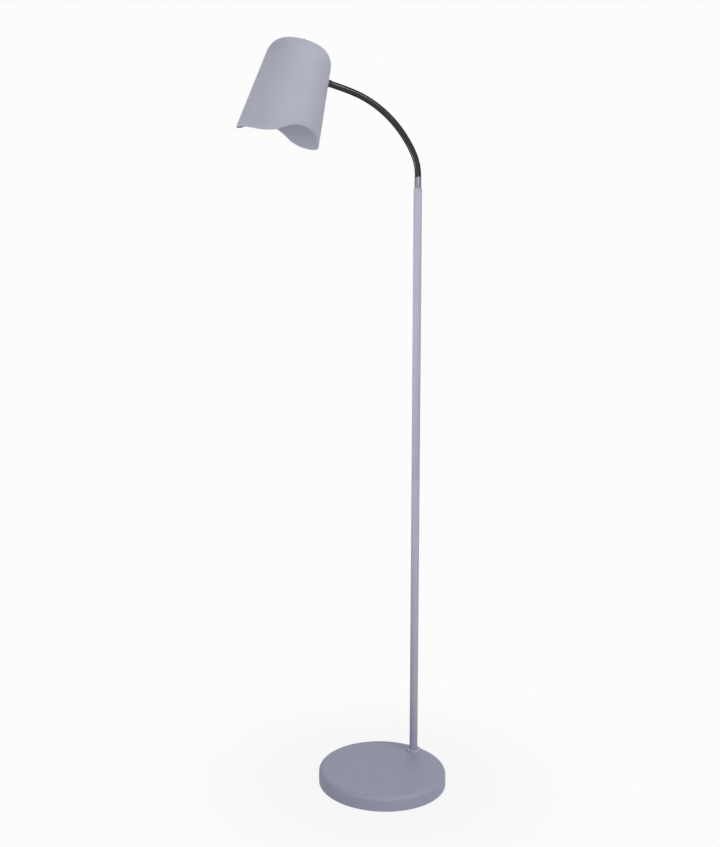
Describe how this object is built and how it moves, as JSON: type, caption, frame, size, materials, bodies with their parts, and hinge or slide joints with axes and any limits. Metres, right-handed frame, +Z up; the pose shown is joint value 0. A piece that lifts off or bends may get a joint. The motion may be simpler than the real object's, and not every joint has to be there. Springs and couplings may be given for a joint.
{
  "type": "gooseneck reading floor lamp",
  "caption": "Slim floor lamp for reading: weighted round base, upright tube pole set off centre, bendable ribbed neck and a bell shade with a scalloped rim.",
  "frame": {"origin": "centre of the round base, on the floor", "axes": "+Z up; +X from the pole towards the centre of the base; the neck leaves the pole at 23.4 degrees from +X towards -Y"},
  "size_m": [0.3627, 0.3119, 1.4388],
  "materials": {
    "powder_coat": "satin powder coat",
    "shade_coat": "satin powder coat",
    "plating": "bright plated",
    "hose": "dark plated",
    "weight": "as cast",
    "hardware": "zinc plated",
    "pad": "matte",
    "insulation": "matte",
    "holder": "matte",
    "ceramic": "unglazed",
    "contacts": "pressed",
    "lamp_metal": "satin",
    "lamp_body": "matte",
    "opal": "opal"
  },
  "bodies": {
    "stand": {"base_cover": "powder_coat", "base_weight": "weight", "base_pad": "pad", "cover_studs": "hardware", "weight_nuts": "hardware", "cord_grommet": "insulation", "foot_collar": "powder_coat", "foot_plug": "hardware", "foot_tube": "hardware", "foot_washer": "hardware", "foot_nut": "hardware", "pole_lower": "powder_coat", "pole_coupler": "hardware", "pole_upper": "powder_coat", "pole_cap": "powder_coat", "supply_lead": "insulation"},
    "neck_foot": {"neck_ferrule": "plating", "ferrule_lead": "insulation"},
    "link_1": {"hose_link_1": "hose", "hose_lead_1": "insulation"},
    "link_2": {"hose_link_2": "hose", "hose_lead_2": "insulation"},
    "link_3": {"hose_link_3": "hose", "hose_lead_3": "insulation"},
    "link_4": {"hose_link_4": "hose", "hose_lead_4": "insulation"},
    "link_5": {"hose_link_5": "hose", "hose_lead_5": "insulation"},
    "link_6": {"hose_link_6": "hose", "hose_lead_6": "insulation"},
    "link_7": {"hose_link_7": "hose", "hose_lead_7": "insulation"},
    "link_8": {"hose_link_8": "hose", "hose_lead_8": "insulation"},
    "link_9": {"hose_link_9": "hose", "hose_lead_9": "insulation"},
    "head": {"neck_collar": "plating", "neck_saddle": "hardware", "neck_washer": "hardware", "neck_nut": "hardware", "shade": "shade_coat", "crown_screw": "plating", "holder_stem": "hardware", "holder_cap": "holder", "holder_shell": "holder", "holder_insert": "ceramic", "holder_contact": "contacts", "holder_thread": "contacts", "lamp_cap": "lamp_metal", "lamp_tip": "contacts", "lamp_collar": "lamp_body", "lamp_globe": "opal", "shade_lead": "insulation"}
  },
  "joints": [
    {"name": "neck_swing", "type": "hinge", "parent": "stand", "child": "neck_foot", "pos_m": [-0.103, 0, 1.165], "axis": [0, 0, 1], "range_deg": [-180, 180]},
    {"name": "neck_bend_1", "type": "hinge", "parent": "neck_foot", "child": "link_1", "pos_m": [-0.103, 0, 1.187], "axis": [0.3971, 0.9178, 0], "range_deg": [-6.75, 1]},
    {"name": "neck_bend_2", "type": "hinge", "parent": "link_1", "child": "link_2", "pos_m": [-0.10067, -0.00101, 1.20848], "axis": [0.3971, 0.9178, 0], "range_deg": [-13.5, 2]},
    {"name": "neck_bend_3", "type": "hinge", "parent": "link_2", "child": "link_3", "pos_m": [-0.0938, -0.00398, 1.22877], "axis": [0.3971, 0.9178, 0], "range_deg": [-10.52, 6]},
    {"name": "neck_bend_4", "type": "hinge", "parent": "link_3", "child": "link_4", "pos_m": [-0.07935, -0.01024, 1.25521], "axis": [0.3971, 0.9178, 0], "range_deg": [-7.54, 12]},
    {"name": "neck_bend_5", "type": "hinge", "parent": "link_4", "child": "link_5", "pos_m": [-0.06183, -0.01781, 1.27936], "axis": [0.3971, 0.9178, 0], "range_deg": [-7.54, 12]},
    {"name": "neck_bend_6", "type": "hinge", "parent": "link_5", "child": "link_6", "pos_m": [-0.04156, -0.02659, 1.3008], "axis": [0.3971, 0.9178, 0], "range_deg": [-7.54, 12]},
    {"name": "neck_bend_7", "type": "hinge", "parent": "link_6", "child": "link_7", "pos_m": [-0.01889, -0.0364, 1.31915], "axis": [0.3971, 0.9178, 0], "range_deg": [-7.54, 12]},
    {"name": "neck_bend_8", "type": "hinge", "parent": "link_7", "child": "link_8", "pos_m": [0.0058, -0.04708, 1.3341], "axis": [0.3971, 0.9178, 0], "range_deg": [-7.54, 12]},
    {"name": "neck_bend_9", "type": "hinge", "parent": "link_8", "child": "link_9", "pos_m": [0.03208, -0.05845, 1.34539], "axis": [0.3971, 0.9178, 0], "range_deg": [-3.77, 12]},
    {"name": "neck_bend_10", "type": "hinge", "parent": "link_9", "child": "head", "pos_m": [0.06355, -0.07207, 1.35637], "axis": [0.3971, 0.9178, 0], "range_deg": [0, 6]}
  ]
}
